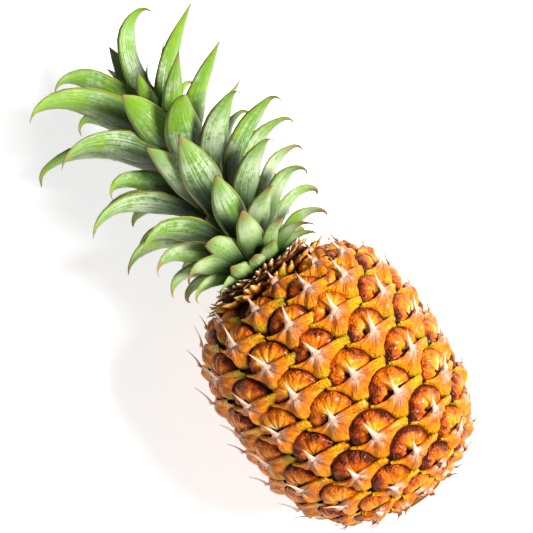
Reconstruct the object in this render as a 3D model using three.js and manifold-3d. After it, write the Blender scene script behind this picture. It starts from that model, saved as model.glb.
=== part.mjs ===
// A whole ripe pineapple lying on its side: the fruit with its eyes, bracts and spines, the ring of dry
// bracts at the neck, the leafy crown and the cut stem. Millimetres, +Z up, +X from the stem to the crown.
import * as THREE from "three";
import { ConvexHull } from "three/addons/math/ConvexHull.js";
import { mergeVertices } from "three/addons/utils/BufferGeometryUtils.js";
import Module from "manifold-3d";

// Driving dimensions of the fruit, in millimetres and radians
const FRUIT_RADIUS = 60; // to the rims of the eyes
const FRUIT_HALF_LENGTH = 71;
const TOP_POWER = 3.2; // squareness of the shoulder below the crown
const BASE_POWER = 2.6; // squareness of the end at the stem
const TOP_DISC_RADIUS = 26; // the flat neck under the crown
const STEM_DISH_RADIUS = 15;
const STEM_DISH_DEPTH = 5;
const REST_FLAT_DEPTH = 1.5; // how far the eyes underneath are pressed flat

// One eye: a half dome above the rim of a bract that slopes down to a point
const RIM_HEIGHT = 4.8; // above the crease between eyes
const RIM_THICKNESS = 0.8;
const RIM_FALL = 0.7; // the share of its height a rim loses at its ends
const DOME_HEIGHT = 3.8;
const DOME_RADIUS = 13.2;
const TROUGH_SHARE = 0.55; // the dome's height where it meets the rim
const TROUGH_WIDTH = 5;
const BRACT_HALF_WIDTH = 17;
const BRACT_DROP = 15.5; // from the rim down to the bract's lower point
const BRACT_EDGE = 3.2; // a bract slopes down over this width round each dome

// The spiral of the eyes
const GOLDEN_ANGLE = THREE.MathUtils.degToRad(137.5077);
const EYE_PHASE = THREE.MathUtils.degToRad(8.2);
const EYE_START = 8.7; // arc length of eye 0 above the widest ring
const EYE_RISE = 1.474; // arc length from one eye to the next
const EYE_SHRINK = 0.4; // eyes get smaller towards the ends by this power of the radius
const SLIP_ANGLE = THREE.MathUtils.degToRad(13); // the spiral steps sideways below the shoulder
const SLIP_START = 32;
const SLIP_SLOPE = 34; // millimetres of arc for each radian round the fruit
const SLIP_LENGTH = 10;

// Where an eye's facets meet, in millimetres across and up, and in degrees round the dome
const RIM_PLACES = [-12, -5.5, 0, 5.5, 12];
const TROUGH_PLACES = [-8, -2.8, 2.8, 8];
const BRACT_PLACES = [
  [-5.5, -4],
  [-1, -6.5],
  [5.5, -3.8],
  [-3.5, -11.5],
];
const CREASE_DEGREES = [9, 36, 63, 90, 117, 144, 171];
const DOME_DEGREES = [22, 56, 90, 124, 158];
const DOME_RING = 0.78; // of the dome's radius
const LEAST_FACET = 1.7;
const RING_STEPS = 24; // facets round the neck and the dish

// Spines, with the lean of each from the fruit's surface in degrees
const SPINE_LENGTH = 11.5;
const SPINE_WIDTH = 3.6;
const SPINE_THICKNESS = 1.3;
const SPINE_SUNK = 2.2;
const SPINE_LEAN = 18;
const SPINE_LEAN_VARIES = 14;
const SHOULDER_LEAN = 45; // more lean where the shoulder turns in to the neck
const SHOULDER_RADII = [30, 52];

// The leaves that show from above. Each row: where the leaf's root is along the axis, its turn round the axis
// in degrees, its degrees from the axis at the root, its tip along and out, its degrees there, its half width
const SHOWN_LEAVES = [
  [71, -20, 58, 84, 33, 60, 6.2],
  [71, 3, 58, 82, 31, 70, 5.5],
  [71, 24, 58, 83, 34, 75, 5.5],
  [71.5, 68, 58, 72, 38, 125, 5],
  [71.5, -44, 58, 73, 35, 135, 5],
  [72, 52, 56, 76, 46, 135, 5.5],
  [72, 40, 52, 90, 39, 82, 6.5],
  [73, 82, 54, 76, 46, 150, 6],
  [73, -66, 56, 77, 40, 145, 5.5],
  [73, -92, 54, 79, 41, 150, 6],
  [75, 13, 48, 104, 42, 62, 7],
  [76, -46, 50, 87, 47, 140, 6.5],
  [76, 100, 46, 87, 50, 150, 6.5],
  [77, -22, 50, 100, 41, 90, 7],
  [78, -78, 47, 86, 46, 150, 6.5],
  [80, -60, 38, 100, 52, 132, 7.5],
  [81, 74, 42, 99, 51, 155, 6.5],
  [82, 34, 44, 106, 52, 76, 7.5],
  [87, 10, 40, 125, 48, 62, 7.9],
  [84, 92, 38, 113, 56, 110, 7],
  [89, -82, 36, 109, 58, 128, 7.5],
  [90, -48, 32, 112, 60, 128, 8],
  [92, -108, 34, 115, 50, 122, 7],
  [94, 51, 40, 126, 56, 82, 8],
  [97, 84, 36, 127, 60, 112, 7.5],
  [105, 5, 38, 151, 54, 55, 9.3],
  [103, -72, 26, 134, 64, 126, 8],
  [104, 70, 34, 142, 64, 84, 8.5],
  [108, -14, 38, 155, 50, 62, 7.6],
  [109, -86, 25, 136, 60, 120, 7.5],
  [107, 96, 34, 144, 44, 100, 6.5],
  [115, 48, 34, 155, 58, 78, 8.8],
  [117, -62, 34, 143, 48, 150, 7],
  [122, 95, 26, 159, 48, 60, 7],
  [117, -99, 18, 175, 73, 106, 8.5],
  [129, -62, 21, 171, 61, 112, 8.8],
  [126, 24, 30, 167, 46, 78, 10],
  [130, 62, 20, 179, 55, 62, 7.5],
  [131, -82, 22, 180, 38, 146, 6],
  [136, -10, 28, 183, 42, 66, 9.3],
  [138, 36, 20, 185, 48, 60, 6.5],
  [139, -60, 18, 199, 62, 108, 9.8],
  [144, 110, 14, 202, 46, 50, 7],
  [146, 68, 15, 203, 52, 62, 7],
  [148, -62, 12, 204, 41, 118, 7.5],
  [149, 84, 8, 215, 32, 100, 8.5],
  [150, 12, 14, 189, 26, 60, 5],
  [150, 126, 10, 200, 34, 42, 6],
  [150, -152, 12, 203, 14, 34, 7],
  [152, 176, 10, 212, 16, 26, 8],
];

// The leaves underneath follow the spiral, with each row running from the lowest leaf to the heart
const SPIRAL_LEAVES = 70;
const CHORD_LENGTHS = [24, 31, 40, 50, 54, 50];
const CHORD_DEGREES = [74, 66, 56, 46, 33, 15];
const START_DEGREES = [58, 48, 38, 28, 18, 8];
const END_DEGREES = [145, 140, 128, 112, 92, 40];
const HALF_WIDTHS = [6, 7.5, 8.5, 9, 8.5, 7];
const CROWN_PHASE = THREE.MathUtils.degToRad(-26.4);
const UNDERSIDE = -0.35; // the cosine of the turn beyond which a leaf counts as underneath
const MOST_DOWN = 55; // no leaf underneath hangs lower than this below the axis
const CROWN_BASE = 71; // the lowest leaf above the fruit's middle
const CROWN_STEM_LENGTH = 82;
const CROWN_CROWDING = 1.55; // above 1 the leaves crowd towards the neck

// Every blade
const LEAF_STATIONS = [0, 0.3, 0.55, 0.76, 0.91];
const LEAF_THICKNESS = 1.5;
const LEAF_SUNK = 5;
const LEAF_ROLL = THREE.MathUtils.degToRad(34); // leaves at the sides turn their backs upward
const RIB_HANDLE = 0.42; // of the leaf's span, how straight its rib leaves the root and meets the tip
const HEART_RADIUS = 16.5;
const HEART_TAPER = 0.7;
const HEART_SIDES = 14;

// The collar of dry bracts and the cut stem
const GAP = 0.35; // between the separate pieces
const COLLAR_RADII = [16.9, 25.5];
const COLLAR_HEIGHT = 1.8;
const NECK_BRACTS = 22;
const STEM_RADIUS = 11;
const STEM_LENGTH = 4.2;

const wasm = await Module();
wasm.setup();

// A repeatable number from 0 to 1 for item i and purpose c
function chance(i, c) {
  const v = Math.sin(i * 12.9898 + c * 78.233) * 43758.5453;
  return v - Math.floor(v);
}

function smoothStep(x) {
  const t = Math.min(1, Math.max(0, x));
  return t * t * (3 - 2 * t);
}

// A point of the plant: along the axis, out from it, and round it from straight up towards -Y
function plantPoint(along, out, round) {
  return new THREE.Vector3(
    along,
    -out * Math.sin(round),
    out * Math.cos(round),
  );
}

// The fruit's outline as a table of arc length, distance along the axis and radius
function fruitOutline(steps = 2000) {
  const table = [];
  let arc = 0;
  for (let i = 0; i <= steps; i++) {
    const a = (i / steps - 0.5) * Math.PI;
    const power = 2 / (a > 0 ? TOP_POWER : BASE_POWER);
    const along =
      FRUIT_HALF_LENGTH * Math.sign(a) * Math.abs(Math.sin(a)) ** power;
    const out = FRUIT_RADIUS * Math.abs(Math.cos(a)) ** power;
    const last = table.at(-1);
    if (last) arc += Math.hypot(along - last.along, out - last.out);
    table.push({ arc, along, out });
  }
  const middle = table[steps / 2].arc;
  return table.map((row) => ({ ...row, arc: row.arc - middle }));
}
const outline = fruitOutline();

// Where the outline is at an arc length, with its outward normal
function outlineAt(arc) {
  let low = 0;
  let high = outline.length - 1;
  while (high - low > 1) {
    const mid = (low + high) >> 1;
    if (outline[mid].arc > arc) high = mid;
    else low = mid;
  }
  const [a, b] = [outline[low], outline[high]];
  const t = THREE.MathUtils.clamp((arc - a.arc) / (b.arc - a.arc), 0, 1);
  const run = Math.hypot(b.along - a.along, b.out - a.out);
  return {
    along: a.along + t * (b.along - a.along),
    out: a.out + t * (b.out - a.out),
    normalAlong: -(b.out - a.out) / run,
    normalOut: (b.along - a.along) / run,
  };
}

// The arc length at which the outline is this far from the axis, on the crown's side or the stem's
function arcAtRadius(out, onCrownSide) {
  const rows = outline.filter((row) => row.arc > 0 === onCrownSide);
  return rows.reduce((best, row) =>
    Math.abs(row.out - out) < Math.abs(best.out - out) ? row : best,
  ).arc;
}
const topArc = arcAtRadius(TOP_DISC_RADIUS, true);
const baseArc = arcAtRadius(STEM_DISH_RADIUS, false);
const neckAlong = outlineAt(topArc).along;
const dishAlong = outlineAt(baseArc).along + STEM_DISH_DEPTH;

function surfacePoint(round, arc, height) {
  const at = outlineAt(arc);
  return plantPoint(
    at.along + at.normalAlong * height,
    at.out + at.normalOut * height,
    round,
  );
}

// The spiral's sideways step, strongest on the side that faces up
function slip(round, arc) {
  const side = Math.atan2(Math.sin(round), Math.cos(round));
  const past = (arc - SLIP_START - SLIP_SLOPE * side) / SLIP_LENGTH + 0.5;
  return SLIP_ANGLE * Math.cos(side / 2) ** 2 * smoothStep(past);
}

function makeEye(index, arc) {
  const size = (outlineAt(arc).out / FRUIT_RADIUS) ** EYE_SHRINK;
  const turn = EYE_PHASE + GOLDEN_ANGLE * index;
  return { index, arc, size, round: turn + slip(turn, arc) };
}

// Eyes one by one, from the middle out to both ends
function placeEyes() {
  const eyes = [];
  for (const way of [1, -1]) {
    let arc = EYE_START;
    let eye = makeEye(0, arc);
    const leastOut = way > 0 ? TOP_DISC_RADIUS + 5 : STEM_DISH_RADIUS + 6;
    for (let index = 0; outlineAt(arc).out > leastOut; index += way) {
      eye = makeEye(index, arc);
      if (way > 0 || index < 0) eyes.push(eye);
      arc += way * EYE_RISE * eye.size;
    }
  }
  return eyes;
}
const eyes = placeEyes();

// A place on the fruit as seen from one eye: across it and up towards the crown
function seenFrom(eye, round, arc) {
  const turn = round - eye.round;
  const across = Math.atan2(Math.sin(turn), Math.cos(turn)) * FRUIT_RADIUS;
  return { across, up: (arc - eye.arc) / eye.size };
}

// Height over the creases: a dome where there is one, else the highest bract, which slopes down to every dome
function relief(round, arc) {
  let height = 0;
  let toDome = BRACT_EDGE;
  for (const eye of eyes) {
    const { across, up } = seenFrom(eye, round, arc);
    if (Math.abs(across) > 20 || Math.abs(up) > 20) continue;
    const away = Math.hypot(across, up) - DOME_RADIUS;
    if (up <= RIM_THICKNESS)
      height = Math.max(height, eye.size * bractHeight(across, up));
    else if (away < 0) return eye.size * domeHeight(across, up);
    else toDome = Math.min(toDome, away);
  }
  return height * smoothStep(toDome / BRACT_EDGE);
}

// A half dome above the rim with a trough along it
function domeHeight(across, up) {
  const fromRoot = Math.hypot(across, up) / DOME_RADIUS;
  const rise = smoothStep((up - RIM_THICKNESS) / TROUGH_WIDTH);
  const share = TROUGH_SHARE + (1 - TROUGH_SHARE) * rise;
  return DOME_HEIGHT * (1 - fromRoot ** 5) * share;
}

// A bract, highest in the middle of its rim, sloping down below it to a point
function bractHeight(across, up) {
  const side = Math.abs(across) / BRACT_HALF_WIDTH;
  const rim = RIM_HEIGHT * (1 - RIM_FALL * side ** 2);
  const down = Math.hypot(side, Math.min(0, up) / BRACT_DROP);
  return rim * (1 - Math.min(1, down) ** 1.6);
}

// The places on one eye where its facets meet, across and up
function eyeFacetPlaces() {
  const ringPlaces = (radius, degrees) =>
    degrees.map((d) => {
      const a = THREE.MathUtils.degToRad(d);
      return [radius * Math.cos(a), radius * Math.sin(a)];
    });
  return [
    ...RIM_PLACES.map((x) => [x, 0]),
    ...ringPlaces(DOME_RADIUS, CREASE_DEGREES),
    ...ringPlaces(DOME_RING * DOME_RADIUS, DOME_DEGREES),
    ...TROUGH_PLACES.map((x) => [x, 2.2]),
    ...BRACT_PLACES,
  ];
}

// Places over the whole fruit, leaving out those that crowd one already there
function fruitPlaces() {
  const places = [];
  const facets = eyeFacetPlaces();
  const crowded = (p) =>
    places.some(({ flat }) => flat.distanceTo(p) < LEAST_FACET);
  const add = (round, arc) => {
    if (arc > topArc - LEAST_FACET || arc < baseArc + LEAST_FACET) return;
    const flat = surfacePoint(round, arc, 0);
    if (crowded(flat)) return;
    const height = relief(round, arc) - RIM_HEIGHT;
    places.push({ flat, real: surfacePoint(round, arc, height) });
  };
  for (const [across, up] of facets)
    for (const eye of eyes)
      add(eye.round + across / FRUIT_RADIUS, eye.arc + up * eye.size);
  return places;
}

// A geometry as a manifold solid, and back
function toSolid(geometry) {
  const bare = new THREE.BufferGeometry();
  bare.setAttribute("position", geometry.getAttribute("position"));
  if (geometry.index) bare.setIndex(geometry.index);
  const merged = mergeVertices(bare, 1e-4);
  return new wasm.Manifold(
    new wasm.Mesh({
      numProp: 3,
      vertProperties: merged.getAttribute("position").array,
      triVerts: new Uint32Array(merged.index.array),
    }),
  );
}

function toGeometry(solid) {
  const mesh = solid.getMesh();
  const geometry = new THREE.BufferGeometry();
  geometry.setAttribute(
    "position",
    new THREE.BufferAttribute(mesh.vertProperties, 3),
  );
  geometry.setIndex(new THREE.BufferAttribute(mesh.triVerts, 1));
  return geometry;
}

function joined(solids) {
  return solids.reduce((all, solid) => all.add(solid));
}

function largestBody(solid) {
  return solid
    .decompose()
    .reduce((a, b) => (a.volume() > b.volume() ? a : b));
}

// A solid from a list of points and triangles
function solidFromFaces(points, faces) {
  const geometry = new THREE.BufferGeometry().setFromPoints(points);
  geometry.setIndex(faces);
  return toSolid(geometry);
}

// Rings of points, each ring joined to the next, closed by a cap at the start and a tip at the end
function solidFromRings(rings, tip) {
  const sides = rings[0].length;
  const points = rings.flat();
  const faces = [];
  for (let j = 1; j < sides - 1; j++) faces.push(0, j + 1, j);
  for (let i = 0; i + 1 < rings.length; i++)
    for (let j = 0; j < sides; j++) {
      const a = i * sides + j;
      const b = i * sides + ((j + 1) % sides);
      faces.push(a, b, b + sides, a, b + sides, a + sides);
    }
  const top = (rings.length - 1) * sides;
  points.push(tip);
  for (let j = 0; j < sides; j++)
    faces.push(top + j, top + ((j + 1) % sides), points.length - 1);
  return solidFromFaces(points, faces);
}

// The body of the fruit: a skin drawn over the places, wrapped as their directions lie round the middle
function fruitBody() {
  const directions = [];
  const targets = [];
  const join = (flat, real = flat) => {
    directions.push(flat.clone().normalize());
    targets.push(real);
  };
  for (const { flat, real } of fruitPlaces()) join(flat, real);
  for (let i = 0; i < RING_STEPS; i++) {
    const round = (i / RING_STEPS) * 2 * Math.PI;
    join(surfacePoint(round, topArc, 0));
    join(surfacePoint(round, baseArc, 0));
    join(plantPoint(dishAlong, STEM_DISH_RADIUS - 2, round));
  }
  join(new THREE.Vector3(neckAlong, 0, 0));
  join(new THREE.Vector3(dishAlong, 0, 0));
  const hull = new ConvexHull().setFromPoints(directions);
  const indexOf = new Map(directions.map((d, i) => [d, i]));
  const corner = (edge) => indexOf.get(edge.head().point);
  const faces = hull.faces.flatMap(({ edge }) => [
    corner(edge),
    corner(edge.next),
    corner(edge.next.next),
  ]);
  return solidFromFaces(targets, faces);
}

// One spine: a flat three-sided horn that leaves the middle of a bract's rim and leans to the crown
function spine(eye) {
  const at = outlineAt(eye.arc);
  const [inner, outer] = SHOULDER_RADII;
  const onShoulder =
    eye.arc > 0 ? 1 - smoothStep((at.out - inner) / (outer - inner)) : 0;
  const lean = THREE.MathUtils.degToRad(
    SPINE_LEAN +
      SPINE_LEAN_VARIES * chance(eye.index, 1) +
      SHOULDER_LEAN * onShoulder,
  );
  const varied = 0.8 + 0.4 * chance(eye.index, 2);
  const length = SPINE_LENGTH * varied * (1 - 0.5 * onShoulder) * eye.size;
  const sway = (chance(eye.index, 3) - 0.5) * 0.5;
  const normal = plantPoint(at.normalAlong, at.normalOut, eye.round);
  const upward = plantPoint(at.normalOut, -at.normalAlong, eye.round);
  const side = new THREE.Vector3().crossVectors(upward, normal);
  const root = surfacePoint(eye.round, eye.arc, 0);
  const place = (forward, lift, across) =>
    root
      .clone()
      .addScaledVector(upward, forward)
      .addScaledVector(normal, lift)
      .addScaledVector(side, across + sway * forward);
  const ring = (forward, lift, share) => {
    const thick = (SPINE_THICKNESS / 2) * share;
    const half = (SPINE_WIDTH / 2) * share;
    return [
      place(forward, lift + thick, 0),
      place(forward, lift - thick, half),
      place(forward, lift - thick, -half),
    ];
  };
  const waist = 0.42 * length;
  const rings = [
    ring(-0.8, -SPINE_SUNK, 1.2),
    ring(waist, waist * Math.tan(lean * 0.6), 0.55),
  ];
  const tip = place(length * Math.cos(lean), length * Math.sin(lean), 0);
  return solidFromRings(rings, tip);
}

// Everything of a solid that lies over the table
function overTable(solid, tableZ) {
  const box = new THREE.BoxGeometry(500, 500, 100);
  box.translate(0, 0, tableZ - 50);
  return solid.subtract(toSolid(box));
}

function makeFruit() {
  const whole = joined([fruitBody(), ...eyes.map(spine)]);
  return largestBody(overTable(whole, REST_FLAT_DEPTH - FRUIT_RADIUS));
}

// The value of a row of numbers at a share t from its first to its last
function fromRow(row, t) {
  const place = t * (row.length - 1);
  const low = Math.min(Math.floor(place), row.length - 2);
  return row[low] + (place - low) * (row[low + 1] - row[low]);
}

// The heart's radius at a distance along the axis
function heartOut(along) {
  const share = (along - CROWN_BASE) / (CROWN_STEM_LENGTH + LEAF_SUNK);
  return HEART_RADIUS * (1 - HEART_TAPER * THREE.MathUtils.clamp(share, 0, 1));
}

// A leaf from a row of the list above
function shownLeaf([start, turn, first, tipAlong, tipOut, last, halfWidth]) {
  const [round, startAngle, endAngle] = [turn, first, last].map((degrees) =>
    THREE.MathUtils.degToRad(degrees),
  );
  return { round, start, startAngle, tipAlong, tipOut, endAngle, halfWidth };
}

// Leaf i of the spiral, from the lowest at t = 0 to the heart at t = 1
function spiralLeaf(i) {
  const t = i / (SPIRAL_LEAVES - 1);
  const vary = (c, share) => 1 + share * (2 * chance(i, c) - 1);
  const round = CROWN_PHASE + GOLDEN_ANGLE * i;
  const start = CROWN_BASE + CROWN_STEM_LENGTH * t ** CROWN_CROWDING;
  const chord = fromRow(CHORD_LENGTHS, t) * vary(5, 0.12);
  const lean = THREE.MathUtils.degToRad(fromRow(CHORD_DEGREES, t) * vary(6, 0.12));
  const most = MOST_DOWN / Math.max(0.3, -Math.cos(round));
  return {
    round,
    start,
    startAngle: THREE.MathUtils.degToRad(fromRow(START_DEGREES, t)),
    tipAlong: start + chord * Math.cos(lean),
    tipOut: Math.min(most, heartOut(start) - LEAF_SUNK + chord * Math.sin(lean)),
    endAngle: THREE.MathUtils.degToRad(fromRow(END_DEGREES, t) * vary(7, 0.1)),
    halfWidth: fromRow(HALF_WIDTHS, t) * vary(8, 0.07),
  };
}

function placeLeaves() {
  const spiral = Array.from({ length: SPIRAL_LEAVES }, (_, i) => spiralLeaf(i));
  const below = spiral.filter((leaf) => Math.cos(leaf.round) < UNDERSIDE);
  return [...SHOWN_LEAVES.map(shownLeaf), ...below];
}

// A leaf's rib, in along and out: a cubic curve that starts and ends in given directions
function ribOf(leaf) {
  const root = new THREE.Vector2(leaf.start, heartOut(leaf.start) - LEAF_SUNK);
  const tip = new THREE.Vector2(leaf.tipAlong, leaf.tipOut);
  const handle = RIB_HANDLE * root.distanceTo(tip);
  const towards = (angle, length) =>
    new THREE.Vector2(Math.cos(angle), Math.sin(angle)).multiplyScalar(length);
  return new THREE.CubicBezierCurve(
    root,
    root.clone().add(towards(leaf.startAngle, handle)),
    tip.clone().sub(towards(leaf.endAngle, handle)),
    tip,
  );
}

// The half width of a blade at a share u of its length
function bladeShare(u) {
  return (1 - u ** 2.6) ** 1.05 * (0.6 + 0.4 * smoothStep(u / 0.45));
}

// One blade: a four-cornered section that is channelled towards the heart and narrows to the tip
function blade(leaf) {
  const rib = ribOf(leaf);
  const frameAt = (u) => {
    const { x: along, y: out } = rib.getPoint(u);
    const angle = rib.getTangent(u).angle();
    const roll = -LEAF_ROLL * Math.sin(leaf.round) * smoothStep(u / 0.4);
    const side = plantPoint(0, 1, leaf.round + Math.PI / 2);
    const inward = plantPoint(Math.sin(angle), -Math.cos(angle), leaf.round);
    return {
      centre: plantPoint(along, out, leaf.round),
      across: turnedTo(side, inward, roll),
      face: turnedTo(inward, side.clone().negate(), roll),
    };
  };
  const ring = (u) => {
    const { centre, across, face } = frameAt(u);
    const half = leaf.halfWidth * bladeShare(u);
    const lift = half * (0.34 - 0.08 * u);
    const thick = LEAF_THICKNESS * (1 - 0.45 * u);
    const at = (x, y) =>
      centre.clone().addScaledVector(across, x).addScaledVector(face, y);
    return [at(-half, lift), at(0, -thick / 2), at(half, lift), at(0, thick / 2)];
  };
  return solidFromRings(LEAF_STATIONS.map(ring), frameAt(1).centre);
}

// One direction turned by an angle towards another at right angles to it
function turnedTo(from, to, angle) {
  return from
    .clone()
    .multiplyScalar(Math.cos(angle))
    .addScaledVector(to, Math.sin(angle));
}

// A round solid turned about the axis from along and out pairs, with few sides
function turned(profile, sides) {
  const points = profile.map(([along, out]) => new THREE.Vector2(out, along));
  const geometry = new THREE.LatheGeometry(points, sides);
  geometry.rotateZ(-Math.PI / 2);
  return toSolid(geometry);
}

function makeCrown() {
  const seat = neckAlong + GAP;
  const top = CROWN_BASE + CROWN_STEM_LENGTH + LEAF_SUNK;
  const heart = turned(
    [
      [seat, 0],
      [seat, HEART_RADIUS - 1.5],
      [CROWN_BASE, HEART_RADIUS],
      [top, heartOut(top)],
      [top + 2, 0],
    ],
    HEART_SIDES,
  );
  return largestBody(joined([heart, ...placeLeaves().map(blade)]));
}

// The collar of short dry bracts between the fruit and the crown
function makeNeckBracts() {
  const seat = neckAlong + GAP;
  const [inner, outer] = COLLAR_RADII;
  const collar = turned(
    [
      [seat, inner],
      [seat, outer],
      [seat + COLLAR_HEIGHT - 0.5, outer - 0.5],
      [seat + COLLAR_HEIGHT, inner + 1.6],
      [seat + COLLAR_HEIGHT - 0.5, inner],
      [seat, inner],
    ],
    NECK_BRACTS + 6,
  );
  const spikes = Array.from({ length: NECK_BRACTS }, (_, i) => spike(i, seat));
  return largestBody(joined([collar, ...spikes]));
}

// One dry bract: a three-cornered spike that leans outward from the collar
function spike(i, seat) {
  const round = (i / NECK_BRACTS) * 2 * Math.PI + 0.1 * chance(i, 10);
  const out = COLLAR_RADII[0] + 3.1 + 3.5 * chance(i, 11);
  const corner = (radius, side) =>
    plantPoint(seat + 0.5, radius, round + side / out);
  const base = [
    corner(out - 0.9, 0),
    corner(out + 0.9, -2.6),
    corner(out + 0.9, 2.6),
  ];
  const tip = plantPoint(seat + 2.8 + chance(i, 12), out + 3.5, round);
  return solidFromRings([base], tip);
}

// The stub of the stem that the fruit grew on, cut square
function makeCutStem() {
  const seat = dishAlong - GAP;
  return turned(
    [
      [seat - STEM_LENGTH, 0],
      [seat - STEM_LENGTH, STEM_RADIUS - 0.6],
      [seat - STEM_LENGTH + 0.6, STEM_RADIUS],
      [seat, STEM_RADIUS + 0.4],
      [seat, 0],
    ],
    24,
  );
}

const looks = {
  fruit: { color: 0xd9820f, roughness: 0.45 },
  neck_bracts: { color: 0x9c6238, roughness: 0.85 },
  crown: { color: 0x5f9a35, roughness: 0.55 },
  cut_stem: { color: 0xc4a26a, roughness: 0.9 },
};

const pineapple = new THREE.Group();
const makers = {
  fruit: makeFruit,
  neck_bracts: makeNeckBracts,
  crown: makeCrown,
  cut_stem: makeCutStem,
};
for (const [name, make] of Object.entries(makers)) {
  const material = new THREE.MeshStandardMaterial({ ...looks[name], metalness: 0 });
  const mesh = new THREE.Mesh(toGeometry(make()), material);
  mesh.name = name;
  pineapple.add(mesh);
}

// The origin goes on the table, under the middle of the whole pineapple's box
const reach = new THREE.Box3().setFromObject(pineapple);
const middle = reach.getCenter(new THREE.Vector3());
pineapple.position.set(-middle.x, -middle.y, -reach.min.z);

export default pineapple;
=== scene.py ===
"""A ripe pineapple lying on its side on a pale floor, seen from above, in soft light from the right."""

import math

import bmesh
import bpy
import numpy as np
from mathutils import Matrix, Vector


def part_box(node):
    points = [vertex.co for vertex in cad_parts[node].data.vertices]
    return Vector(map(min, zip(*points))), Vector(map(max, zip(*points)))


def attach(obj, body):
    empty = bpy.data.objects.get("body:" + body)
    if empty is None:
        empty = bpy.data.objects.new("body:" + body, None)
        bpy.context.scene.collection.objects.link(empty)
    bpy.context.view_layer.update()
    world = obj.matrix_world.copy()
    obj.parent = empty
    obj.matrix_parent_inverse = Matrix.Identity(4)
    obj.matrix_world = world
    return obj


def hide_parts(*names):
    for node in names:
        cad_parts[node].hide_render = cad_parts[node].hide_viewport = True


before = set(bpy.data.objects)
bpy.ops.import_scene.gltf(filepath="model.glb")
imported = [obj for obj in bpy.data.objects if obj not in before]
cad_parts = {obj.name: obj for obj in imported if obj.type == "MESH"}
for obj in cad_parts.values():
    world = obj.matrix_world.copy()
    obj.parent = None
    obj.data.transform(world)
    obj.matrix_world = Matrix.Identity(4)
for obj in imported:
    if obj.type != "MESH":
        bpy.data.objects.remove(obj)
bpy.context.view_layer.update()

MM = 0.001

# The fruit's own shape, in millimetres, the same as the solid it stands for
FRUIT_RADIUS = 60.0
FRUIT_HALF_LENGTH = 71.0
TOP_POWER = 3.2
BASE_POWER = 2.6
TOP_DISC_RADIUS = 26.0
STEM_DISH_RADIUS = 15.0
STEM_DISH_DEPTH = 5.0
GAP = 0.35
RIM_HEIGHT = 4.8
DOME_HEIGHT = 3.8
DOME_RADIUS = 13.2
GOLDEN_ANGLE = math.radians(137.5077)
EYE_PHASE = math.radians(8.2)
EYE_START = 8.7
EYE_RISE = 1.474
EYE_SHRINK = 0.4
SLIP_ANGLE = math.radians(13)
SLIP_START = 32.0
SLIP_SLOPE = 34.0
SLIP_LENGTH = 10.0
SPINE_LENGTH = 11.5
EYES_END_AT_NECK = 31.0
EYES_END_AT_STEM = 21.0

# How far the looks stay above the floor, in millimetres, and which points count as one, in metres
FLOOR_CLEARANCE = 0.02
LEAF_CLEARANCE = 0.3
MERGE_DISTANCE = 2e-6

# The paler rind round the stem: where it is full and where it has faded, in metres along the frame's X
STEM_RIND_FULL = -0.1425
STEM_RIND_GONE = -0.136

# The leaves that show from above. Each row: root along the axis, turn round it in degrees, degrees from the
# axis at the root, tip along and out, degrees there, half width
SHOWN_LEAVES = np.array(
    [
        [71, -20, 58, 84, 33, 60, 6.2],
        [71, 3, 58, 82, 31, 70, 5.5],
        [71, 24, 58, 83, 34, 75, 5.5],
        [71.5, 68, 58, 72, 38, 125, 5],
        [71.5, -44, 58, 73, 35, 135, 5],
        [72, 52, 56, 76, 46, 135, 5.5],
        [72, 40, 52, 90, 39, 82, 6.5],
        [73, 82, 54, 76, 46, 150, 6],
        [73, -66, 56, 77, 40, 145, 5.5],
        [73, -92, 54, 79, 41, 150, 6],
        [75, 13, 48, 104, 42, 62, 7],
        [76, -46, 50, 87, 47, 140, 6.5],
        [76, 100, 46, 87, 50, 150, 6.5],
        [77, -22, 50, 100, 41, 90, 7],
        [78, -78, 47, 86, 46, 150, 6.5],
        [80, -60, 38, 100, 52, 132, 7.5],
        [81, 74, 42, 99, 51, 155, 6.5],
        [82, 34, 44, 106, 52, 76, 7.5],
        [87, 10, 40, 125, 48, 62, 7.9],
        [84, 92, 38, 113, 56, 110, 7],
        [89, -82, 36, 109, 58, 128, 7.5],
        [90, -48, 32, 112, 60, 128, 8],
        [92, -108, 34, 115, 50, 122, 7],
        [94, 51, 40, 126, 56, 82, 8],
        [97, 84, 36, 127, 60, 112, 7.5],
        [105, 5, 38, 151, 54, 55, 9.3],
        [103, -72, 26, 134, 64, 126, 8],
        [104, 70, 34, 142, 64, 84, 8.5],
        [108, -14, 38, 155, 50, 62, 7.6],
        [109, -86, 25, 136, 60, 120, 7.5],
        [107, 96, 34, 144, 44, 100, 6.5],
        [115, 48, 34, 155, 58, 78, 8.8],
        [117, -62, 34, 143, 48, 150, 7],
        [122, 95, 26, 159, 48, 60, 7],
        [117, -99, 18, 175, 73, 106, 8.5],
        [129, -62, 21, 171, 61, 112, 8.8],
        [126, 24, 30, 167, 46, 78, 10],
        [130, 62, 20, 179, 55, 62, 7.5],
        [131, -82, 22, 180, 38, 146, 6],
        [136, -10, 28, 183, 42, 66, 9.3],
        [138, 36, 20, 185, 48, 60, 6.5],
        [139, -60, 18, 199, 62, 108, 9.8],
        [144, 110, 14, 202, 46, 50, 7],
        [146, 68, 15, 203, 52, 62, 7],
        [148, -62, 12, 204, 41, 118, 7.5],
        [149, 84, 8, 215, 32, 100, 8.5],
        [150, 12, 14, 189, 26, 60, 5],
        [150, 126, 10, 200, 34, 42, 6],
        [150, -152, 12, 203, 14, 34, 7],
        [152, 176, 10, 212, 16, 26, 8],
    ]
)

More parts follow.
